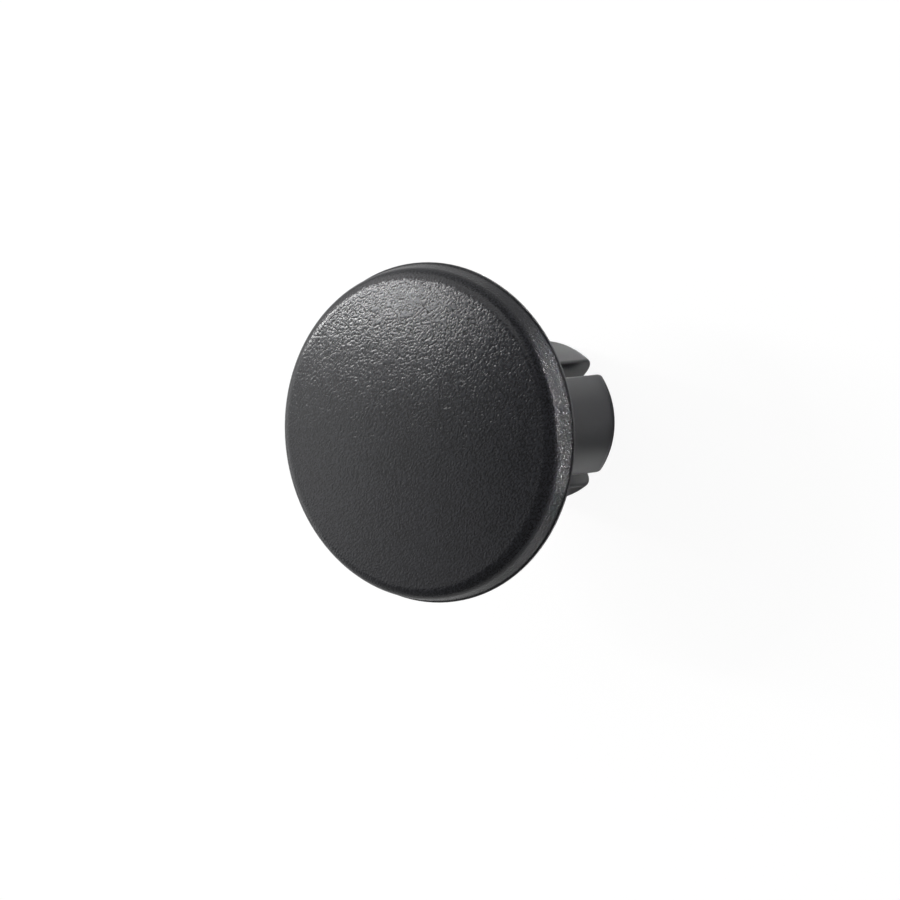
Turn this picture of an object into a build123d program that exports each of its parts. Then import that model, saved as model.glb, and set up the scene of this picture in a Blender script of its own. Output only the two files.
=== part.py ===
"""Push-in hole plug, moulded in one piece.

A crowned round head covers the hole, and a hollow stem, split into four springing
prongs, holds it there. The origin is the centre of the plane that seats on the panel,
+Z runs out of the head's face, and the stem hangs below. Lengths are millimetres.
"""

import os
from math import hypot, radians, sqrt, tan

from build123d import *

# Head
head_diameter = 30.0  # across the smooth band that meets the panel
head_wall = 1.5  # thickness of the crown over the hollow underside
rim_wall = 1.5  # width of the ring that seats on the panel
corner_height = 2.65  # seat to the sharp corner that the shoulder rounds off
crown_rise = 1.15  # how far the crown swells above that corner
shoulder_radius = 1.3  # round between the rim and the crown
rim_draft = 11.0  # degrees that the grained rim wall leans inwards

# Smooth band behind the grained rim wall, where the mould halves meet
band_height = 0.3
band_step = 0.1  # how far the grained wall stands in from the band
band_round = 0.12  # round on the band's rear edge

# Hollow underside of the head
cavity_draft = 3.0  # degrees that the rim's inner wall leans, for release
seat_round = 0.2  # round on the seating ring's inner edge
root_fillet = 0.5  # inside corners under the crown

# Stem
stem_diameter = 14.4  # the prongs close a little to enter a 14 mm hole
stem_length = 19.9  # seat to the tips of the prongs
stem_wall = 2.4  # stouter than the head, for a firm spring
tip_flat = 0.1  # width of the flat left on each prong's tip
tip_inner_round = 0.3  # round on the bore's edge at the tips

# Slots that free the prongs
prong_count = 4
slot_width = 1.5
solid_root = 3.5  # seat to the closed end of each slot
slot_edge_round = 0.25  # round on the slots' outer edges

head_radius = head_diameter / 2
stem_radius = stem_diameter / 2
bore_radius = stem_radius - stem_wall
cavity_radius = head_radius - rim_wall
tip_round = stem_wall - tip_flat - tip_inner_round

wall_radius = head_radius - band_step
corner_radius = wall_radius - (corner_height - band_height) * tan(radians(rim_draft))
crown_top = corner_height + crown_rise
crown_radius = (corner_radius**2 + crown_rise**2) / (2 * crown_rise)


def ceiling(radius):
    """The point of the crown's inner face, one head wall under the crown, at a radius."""
    return radius, crown_top - crown_radius + sqrt((crown_radius - head_wall) ** 2 - radius**2)


ceiling_radius = cavity_radius - ceiling(cavity_radius)[1] * tan(radians(cavity_draft))

# Corners of the half section, and the round that each one gets
shoulder = (corner_radius, corner_height)
band_edge = (head_radius, 0)
seat_edge = (cavity_radius, 0)
cavity_corner = ceiling(ceiling_radius)
stem_root = ceiling(stem_radius)
bore_end = ceiling(bore_radius)
tip_outside = (stem_radius, -stem_length)
tip_inside = (bore_radius, -stem_length)
corner_rounds = {
    shoulder: shoulder_radius,
    band_edge: band_round,
    seat_edge: seat_round,
    cavity_corner: root_fillet,
    stem_root: root_fillet,
    bore_end: root_fillet,
    tip_outside: tip_round,
    tip_inside: tip_inner_round,
}


def lies_on_slot_rim(edge):
    """Whether an edge runs along a slot on the stem's outer surface."""
    middle = edge.position_at(0.5)
    on_stem = abs(hypot(middle.X, middle.Y) - stem_radius) < 1e-3
    return on_stem and middle.Z < -solid_root + 1e-3 and edge.geom_type != GeomType.CIRCLE


# What one slot takes away: a bar with a rounded top, from the axis out past the stem
with BuildPart() as slot:
    with BuildSketch(Plane.YZ):
        with Locations((0, -solid_root - slot_width / 2)):
            Circle(slot_width / 2)
            Rectangle(slot_width, stem_length, align=(Align.CENTER, Align.MAX))
    extrude(amount=stem_radius + slot_width)

with BuildPart() as plug:
    # One half section, turned about Z, gives the head, its hollow underside and the tube
    with BuildSketch(Plane.XZ) as half_section:
        with BuildLine():
            TangentArc((0, crown_top), shoulder, tangent=(1, 0))
            Polyline(shoulder, (wall_radius, band_height), (head_radius, band_height), band_edge)
            Polyline(band_edge, seat_edge, cavity_corner)
            ThreePointArc(cavity_corner, ceiling((ceiling_radius + stem_radius) / 2), stem_root)
            Polyline(stem_root, tip_outside, tip_inside, bore_end)
            ThreePointArc(bore_end, ceiling(bore_radius / 2), ceiling(0))
            Line(ceiling(0), (0, crown_top))
        make_face()
        for corner, size in corner_rounds.items():
            fillet(half_section.vertices().sort_by_distance(corner)[0], size)
    revolve(axis=Axis.Z)

    # The slots leave the prongs between them, one of which is centred on +X
    with PolarLocations(0, prong_count, start_angle=180 / prong_count):
        add(slot.part, mode=Mode.SUBTRACT)

    # The slots' outer edges are eased, from one tip round the closed end to the other tip
    fillet(plug.edges().filter_by(lies_on_slot_rim), slot_edge_round)

plug.part.label = "plug"
os.makedirs("parts", exist_ok=True)
export_step(plug.part, "parts/plug.step")
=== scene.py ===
# %% [markdown]
# # A push-in hole plug
#
# The real object is one moulding in black plastic. A crowned round head covers a hole
# in a panel, and a hollow stem, split into four springing prongs, holds it there. The
# solid comes from the CAD model, in metres, with the seat of the head at height zero
# and the stem hanging below it. Its shape is finished, so what is left for Blender is
# the skin that the mould gave to the plastic, and the light of a small studio.

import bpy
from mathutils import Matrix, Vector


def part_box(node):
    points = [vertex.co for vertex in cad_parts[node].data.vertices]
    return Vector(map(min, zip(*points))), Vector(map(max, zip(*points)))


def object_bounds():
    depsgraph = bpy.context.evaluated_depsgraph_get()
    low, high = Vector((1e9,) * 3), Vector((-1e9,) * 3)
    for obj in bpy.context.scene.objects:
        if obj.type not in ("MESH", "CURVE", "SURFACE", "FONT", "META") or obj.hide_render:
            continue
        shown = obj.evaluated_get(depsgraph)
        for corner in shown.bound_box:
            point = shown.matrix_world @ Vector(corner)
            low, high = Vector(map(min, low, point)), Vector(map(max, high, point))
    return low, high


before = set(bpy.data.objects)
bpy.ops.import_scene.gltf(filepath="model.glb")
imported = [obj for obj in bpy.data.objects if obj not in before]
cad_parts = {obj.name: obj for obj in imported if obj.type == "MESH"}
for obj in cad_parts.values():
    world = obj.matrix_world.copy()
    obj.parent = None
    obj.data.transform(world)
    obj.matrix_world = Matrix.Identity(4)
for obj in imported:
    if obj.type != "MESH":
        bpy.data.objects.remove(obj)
cad_low, cad_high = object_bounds()
size_mm = [round((high - low) * 1000, 2) for low, high in zip(cad_low, cad_high)]
print("the plug measures", size_mm, "mm")

# %% [markdown]
# ## Named sizes
#
# A finish belongs to a place on the plug, so the places are needed first: how far the
# head reaches, where its crown ends, and where the stem's prongs stand on the floor.
# They are read from the plug's own box. Two sizes are given here, because no box tells
# them: the ring of the rim, and the smooth band behind the grained wall, where the two
# halves of the mould met.

# %% Sizes of the plug
from math import cos, pi, radians, sin, tan

import bpy
from mathutils import Matrix, Vector

MM = 0.001

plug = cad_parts["plug"]
plug_low, plug_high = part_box("plug")
head_radius = plug_high.x
crown_top = plug_high.z
floor_height = plug_low.z
rim_width = 1.5 * MM
band_height = 0.3 * MM
print(f"head radius {head_radius / MM:.2f} mm, crown top {crown_top / MM:.2f} mm")
print(f"the prongs stand {-floor_height / MM:.2f} mm below the seat")

# %% [markdown]
# ## Helpers for node trees
#
# A material is a graph of small steps. Each helper adds one step, sets it and wires its
# inputs, so that the code of a finish reads from top to bottom like a recipe. A group
# is a recipe with a name: it is built once, and a material places it with its own
# values.

# %% Node helpers
def add_node(tree, kind, inputs=None, **settings):
    """Add one node, set its properties, and fill its inputs with values or sockets."""
    node = tree.nodes.new(kind)
    for name, value in settings.items():
        setattr(node, name, value)
    for name, value in (inputs or {}).items():
        if isinstance(value, bpy.types.NodeSocket):
            tree.links.new(value, node.inputs[name])
        else:
            node.inputs[name].default_value = value
    return node


def calculate(tree, operation, *values):
    """One step of arithmetic, and its result."""
    return add_node(tree, "ShaderNodeMath", dict(enumerate(values)), operation=operation).outputs[0]


def calculate_vector(tree, operation, *values, **inputs):
    """One step of arithmetic on a direction or a place, and its result."""
    every = {**dict(enumerate(values)), **inputs}
    return add_node(tree, "ShaderNodeVectorMath", every, operation=operation).outputs[0]


def ease(tree, value, start, end, low=0.0, high=1.0):
    """A soft step from low to high as value goes from start to end."""
    inputs = {"Value": value, "From Min": start, "From Max": end, "To Min": low, "To Max": high}
    node = add_node(tree, "ShaderNodeMapRange", inputs, interpolation_type="SMOOTHSTEP")
    return node.outputs["Result"]


def new_group(name, inputs, outputs):
    """An empty shader group: the group, the sockets given to it and its output node."""
    group = bpy.data.node_groups.new(name, "ShaderNodeTree")
    for label, kind, value in inputs:
        socket = group.interface.new_socket(label, in_out="INPUT", socket_type=kind)
        if value is not None:
            socket.default_value = value
    for label in outputs:
        group.interface.new_socket(label, in_out="OUTPUT", socket_type="NodeSocketFloat")
    given = group.nodes.new("NodeGroupInput").outputs
    return group, given, group.nodes.new("NodeGroupOutput")


# %% [markdown]
# ## The mould's grain
#
# The steel of the mould is etched with a fine leathery pattern, and the plastic takes
# its print: shallow flecks, a sixth of a millimetre apart and a little longer one way
# than the other. The print hides scratches and kills the mirror look of bare plastic.
# Modelled as faces it would need millions of them, so it is a height that bends the
# light instead. The places are turned and squeezed before the noise is read, which is
# what draws its flecks out along one direction.

# %% Group: mould grain
fleck_squeeze = 0.7

grain_group, given, result = new_group(
    "Mould grain",
    [
        ("Position", "NodeSocketVector", None),
        ("Pitch", "NodeSocketFloat", 0.16 * MM),
        ("Lean", "NodeSocketFloat", 0.0),
    ],
    ["Height"],
)
flecks_per_metre = calculate(grain_group, "DIVIDE", 1.0, given["Pitch"])
in_flecks = calculate_vector(grain_group, "SCALE", given["Position"], Scale=flecks_per_metre)
turned = add_node(
    grain_group, "ShaderNodeVectorRotate", {"Vector": in_flecks, "Angle": given["Lean"]},
    rotation_type="Z_AXIS", invert=True,
).outputs[0]
drawn_out = calculate_vector(grain_group, "MULTIPLY", turned, (fleck_squeeze, 1, 1))
etching = add_node(
    grain_group, "ShaderNodeTexNoise",
    {"Vector": drawn_out, "Scale": 1.0, "Detail": 1.0, "Roughness": 0.5},
).outputs[0]
spread = calculate(grain_group, "MULTIPLY_ADD", etching, 2.0, -0.5)
grain_group.links.new(spread, result.inputs["Height"])
print("made the group", grain_group.name)

# %% [markdown]
# ## The cloudiness of a moulded skin
#
# Even the plain parts of a moulding are not one even gloss. The melt cooled faster in
# some places than in others, which leaves clouds a few millimetres wide where the gloss
# is a little higher or lower, and a surface that is flat only to a few thousandths of a
# millimetre. One noise makes both: it goes out as a value around zero.

# %% Group: moulded cloud
cloud_group, given, result = new_group(
    "Moulded cloud",
    [("Position", "NodeSocketVector", None), ("Size", "NodeSocketFloat", 3 * MM)],
    ["Cloud"],
)
clouds_per_metre = calculate(cloud_group, "DIVIDE", 1.0, given["Size"])
cloud_noise = add_node(
    cloud_group, "ShaderNodeTexNoise",
    {"Vector": given["Position"], "Scale": clouds_per_metre, "Detail": 3.0, "Roughness": 0.55},
).outputs[0]
cloud_group.links.new(calculate(cloud_group, "SUBTRACT", cloud_noise, 0.5), result.inputs["Cloud"])
print("made the group", cloud_group.name)

# %% [markdown]
# ## Where the grain is
#
# Only the faces that are seen on a panel are grained: the crown, the shoulder and the
# wall of the rim. The band behind them, the seat, the hollow underside and the stem
# came from polished steel. The plug is one piece with one material, so a mask tells the
# two finishes apart. It asks of every point how far it is from the axis and how high it
# is, both in the plug's own frame, and whether the surface faces upwards in the room. The
# last holds while the plug stands upright, as it does here.

# %% Mask: grained faces
least_upward = 0.05
band_blur = 0.05 * MM

black_plastic = bpy.data.materials.new("black_plastic_skin")
black_plastic.use_nodes = True
skin_tree = black_plastic.node_tree
skin_tree.nodes.clear()

place = add_node(skin_tree, "ShaderNodeTexCoord").outputs["Object"]
height = add_node(skin_tree, "ShaderNodeSeparateXYZ", {"Vector": place}).outputs["Z"]
across = calculate_vector(skin_tree, "MULTIPLY", place, (1, 1, 0))
from_axis = add_node(
    skin_tree, "ShaderNodeVectorMath", {0: across}, operation="LENGTH",
).outputs["Value"]
facing = add_node(skin_tree, "ShaderNodeNewGeometry").outputs["True Normal"]
facing_up = add_node(skin_tree, "ShaderNodeSeparateXYZ", {"Vector": facing}).outputs["Z"]
on_crown = calculate(skin_tree, "GREATER_THAN", facing_up, least_upward)
on_rim_wall = calculate(skin_tree, "GREATER_THAN", from_axis, head_radius - rim_width / 2)
outside = calculate(skin_tree, "MAXIMUM", on_crown, on_rim_wall)
above_band = ease(skin_tree, height, band_height, band_height + band_blur)
grained = calculate(skin_tree, "MULTIPLY", outside, above_band)

# %% [markdown]
# ## Black plastic
#
# The plastic itself is coloured right through with carbon black, so almost nothing of
# its look is colour: it is the sheen of its surface. The grained faces get the etched
# height, and the plain faces only the slow cloud. The tone on the grain follows its height
# as painted light and shade: painted shade darkens the valleys, and the tops are painted
# paler, as if light caught them. The prongs and the other plain faces keep a darker black.

# %% Material: black plastic
grain_pitch = 0.165 * MM
grain_depth = 0.016 * MM
grain_lean = radians(46)
cloud_size, cloud_depth = 3 * MM, 0.01 * MM
cloud_in_gloss, cloud_in_tone = 0.04, 0.5
grained_roughness, plain_roughness = 0.18, 0.32
valley_height, top_height = 0.25, 0.85
# Painted shade in the grain's valleys, painted light on its tops, one even tone on the plain faces.
painted_top_light, painted_valley_shade, plain_tone = 1.6, 0.65, 0.6
carbon_black = (0.0105, 0.0108, 0.013)
refraction = 1.4

grain = add_node(
    skin_tree, "ShaderNodeGroup", node_tree=grain_group,
    inputs={"Position": place, "Pitch": grain_pitch, "Lean": grain_lean},
).outputs["Height"]
cloud = add_node(
    skin_tree, "ShaderNodeGroup", node_tree=cloud_group,
    inputs={"Position": place, "Size": cloud_size},
).outputs["Cloud"]

relief = calculate(skin_tree, "MULTIPLY", grain, grained)
sunk = add_node(skin_tree, "ShaderNodeBump", {"Height": cloud, "Distance": cloud_depth})
printed = add_node(
    skin_tree, "ShaderNodeBump",
    {"Height": relief, "Distance": grain_depth, "Normal": sunk.outputs["Normal"]},
)
finish = ease(skin_tree, grained, 0.0, 1.0, plain_roughness, grained_roughness)
cloudy_finish = calculate(skin_tree, "MULTIPLY_ADD", cloud, cloud_in_gloss, finish)
# Painted light and shade on the grain: paler on its tops, darker in its valleys.
painted_light_and_shade = ease(skin_tree, grain, valley_height, top_height, painted_valley_shade, painted_top_light)
grain_painted_shading = add_node(
    skin_tree, "ShaderNodeMix", {"Factor": grained, "A": plain_tone, "B": painted_light_and_shade},
).outputs[0]
tone_and_painted_shade = calculate(skin_tree, "MULTIPLY_ADD", cloud, cloud_in_tone, grain_painted_shading)
tint = calculate_vector(skin_tree, "SCALE", carbon_black, Scale=tone_and_painted_shade)

sheen = add_node(
    skin_tree, "ShaderNodeBsdfPrincipled",
    {
        "Base Color": tint, "Roughness": cloudy_finish, "IOR": refraction,
        "Normal": printed.outputs["Normal"],
    },
)
skin_end = add_node(skin_tree, "ShaderNodeOutputMaterial")
skin_tree.links.new(sheen.outputs[0], skin_end.inputs["Surface"])
plug.material_slots[0].material = black_plastic
print("the plug wears", plug.material_slots[0].material.name)

# %% [markdown]
# ## Camera
#
# A long lens from half a metre away, as for a small part in a shop's catalogue: it looks
# down on the crown from the side, so that the rim, the stem and two of its slots show.
# The camera is rolled, which shows the plug as if it lay on its side. We keep its three
# axes, since the lamps are easiest to place as they are seen from behind the camera. The
# lens and the sensor are in millimetres, and so are the two small shifts that frame the
# plug.

# %% Camera
camera_turn = radians(8.37)
camera_rise = radians(55.6)
camera_roll = radians(-96.5)
camera_distance = 528 * MM
shift_right, shift_down = 1.53, 1.54

back = Vector((
    cos(camera_rise) * cos(camera_turn),
    cos(camera_rise) * sin(camera_turn),
    sin(camera_rise),
))
aim = (-back).to_track_quat("-Z", "Y").to_matrix() @ Matrix.Rotation(camera_roll, 3, "Z")
right, up = aim.col[0].copy(), aim.col[1].copy()

lens = bpy.data.cameras.new("camera")
lens.lens, lens.sensor_width = 240, 36
lens.clip_start, lens.clip_end = 10 * MM, 20
camera = bpy.data.objects.new("camera", lens)
camera.matrix_world = (
    Matrix.Translation(back * camera_distance + right * shift_right * MM - up * shift_down * MM)
    @ aim.to_4x4()
)
bpy.context.scene.collection.objects.link(camera)
bpy.context.scene.camera = camera
print("camera at", [round(x, 3) for x in camera.matrix_world.translation])

# %% [markdown]
# ## Floor
#
# A sheet of pale card under the prongs, which takes the plug's shadow and sends some
# light back up to it. Some of the lamps shine up from beside and below the table, as
# through frosted glass, so the card is told not to shade them. In the camera's eyes most
# of it is plain white, which Light Path tells apart from the light that the plug gets.

# %% Floor
floor_reach = 3.0
card_grey = 0.5
white_share, white_level = 0.85, 1.1
corners = [(-1, -1), (1, -1), (1, 1), (-1, 1)]
floor_mesh = bpy.data.meshes.new("floor")
floor_mesh.from_pydata(
    [(x * floor_reach, y * floor_reach, floor_height) for x, y in corners], [], [(0, 1, 2, 3)],
)
floor = bpy.data.objects.new("floor", floor_mesh)
bpy.context.scene.collection.objects.link(floor)
floor.visible_shadow = False

white_card = bpy.data.materials.new("white_card")
white_card.use_nodes = True
card_tree = white_card.node_tree
card_tree.nodes.clear()
card = add_node(card_tree, "ShaderNodeBsdfDiffuse", {"Color": (*[card_grey] * 3, 1)})
plain_white = add_node(card_tree, "ShaderNodeEmission", {"Strength": white_level})
seen = add_node(card_tree, "ShaderNodeLightPath").outputs["Is Camera Ray"]
share = calculate(card_tree, "MULTIPLY", seen, white_share)
blend = add_node(
    card_tree, "ShaderNodeMixShader",
    {0: share, 1: card.outputs[0], 2: plain_white.outputs[0]},
)
card_end = add_node(card_tree, "ShaderNodeOutputMaterial")
card_tree.links.new(blend.outputs[0], card_end.inputs["Surface"])
floor_mesh.materials.append(white_card)

# %% [markdown]
# ## The room
#
# Black plastic shows almost nothing but reflections, so the room matters as much as the
# lamps. Behind the camera, low on the right, it is dim, which gives the shoulder its dark
# line; on the far side of the plug, high on the left, it is pale. Its light grows softly
# from the one to the other, and comes only from above the horizon. The camera itself
# sees plain white where the floor ends.

# %% World
room = bpy.data.worlds.new("studio_room")
bpy.context.scene.world = room
room.use_nodes = True
room_tree = room.node_tree
room_tree.nodes.clear()
dim_side, pale_side = 0.2, 0.88
glow_span = (-0.9, 0.2)
dim_way = (0.8 * back - 0.5 * up + 0.5 * right).normalized()
towards = add_node(room_tree, "ShaderNodeTexCoord").outputs["Generated"]
nearness = add_node(
    room_tree, "ShaderNodeVectorMath", {0: towards, 1: dim_way}, operation="DOT_PRODUCT",
).outputs["Value"]
glow = ease(room_tree, nearness, *glow_span, pale_side, dim_side)
upwards = add_node(room_tree, "ShaderNodeSeparateXYZ", {"Vector": towards}).outputs["Z"]
above_horizon = calculate(room_tree, "GREATER_THAN", upwards, 0.0)
glow_above = calculate(room_tree, "MULTIPLY", glow, above_horizon)
white = (1, 1, 1, 1)
walls = add_node(room_tree, "ShaderNodeBackground", {"Color": white, "Strength": glow_above})
backdrop = add_node(room_tree, "ShaderNodeBackground", {"Color": white, "Strength": 1.0})
looked_at = add_node(room_tree, "ShaderNodeLightPath").outputs["Is Camera Ray"]
choice = add_node(
    room_tree, "ShaderNodeMixShader",
    {0: looked_at, 1: walls.outputs[0], 2: backdrop.outputs[0]},
)
room_end = add_node(room_tree, "ShaderNodeOutputWorld")
room_tree.links.new(choice.outputs[0], room_end.inputs["Surface"])

# %% [markdown]
# ## Lamps
#
# Soft boxes do the rest, each one given by its direction as the camera sees it, by the
# angles that it spans, and by how bright its face is. A narrow strip on the left draws
# the bright patch along the crown's top, and a broad one above it carries that patch on.
# Two dim sheets fill the crown's left half and its middle. Four more stand on the right,
# mostly below the level of the card: one draws the bright line along the shoulder, one
# lights the rim's wall, and the last two light the upper and the lower prongs. A ray that
# leaves the plug at random would end on the card before it met one of these four, so
# their light is found only by rays that are aimed at them, which the card lets through.

# %% Lamps
lamp_distance = 0.6


def soft_box(name, turn, rise, half_width, half_height, brightness, past_the_card=False):
    """A rectangular lamp that faces the plug; angles in degrees, as the camera sees them."""
    turn, rise = radians(turn), radians(rise)
    direction = right * sin(turn) * cos(rise) + up * sin(rise) + back * cos(turn) * cos(rise)
    side = up.cross(direction).normalized()
    lamp = bpy.data.lights.new(name, "AREA")
    lamp.shape = "RECTANGLE"
    lamp.size = 2 * lamp_distance * tan(radians(half_width))
    lamp.size_y = 2 * lamp_distance * tan(radians(half_height))
    lamp.energy = brightness * pi * lamp.size * lamp.size_y
    box = bpy.data.objects.new(name, lamp)
    axes = Matrix((side, direction.cross(side), direction)).transposed()
    box.matrix_world = Matrix.Translation(direction * lamp_distance) @ axes.to_4x4()
    box.visible_camera = False
    lamp.cycles.use_multiple_importance_sampling = not past_the_card
    bpy.context.scene.collection.objects.link(box)
    print(f"{name}: {lamp.size:.2f} by {lamp.size_y:.2f} m, {lamp.energy:.2f} W")


soft_box("strip_light", -82, 13.5, 17, 2, 47)
soft_box("top_light", -56, 39, 34, 21, 1.2)
soft_box("side_sheet", -126, 12, 50, 36, 1.0)
soft_box("face_sheet", -71, -10, 14, 20, 0.6)
soft_box("edge_light", 64, 16, 10, 24, 6.0, past_the_card=True)
soft_box("rim_light", 93, 10, 14, 40, 3.1, past_the_card=True)
soft_box("far_light", 140, 33, 26, 11, 1.0, past_the_card=True)
soft_box("low_light", 134, -31, 14, 12, 1.2, past_the_card=True)

# %% [markdown]
# ## The end
#
# Standard keeps the colours as they are written.

# %% View and the end
bpy.context.scene.view_settings.view_transform = "Standard"
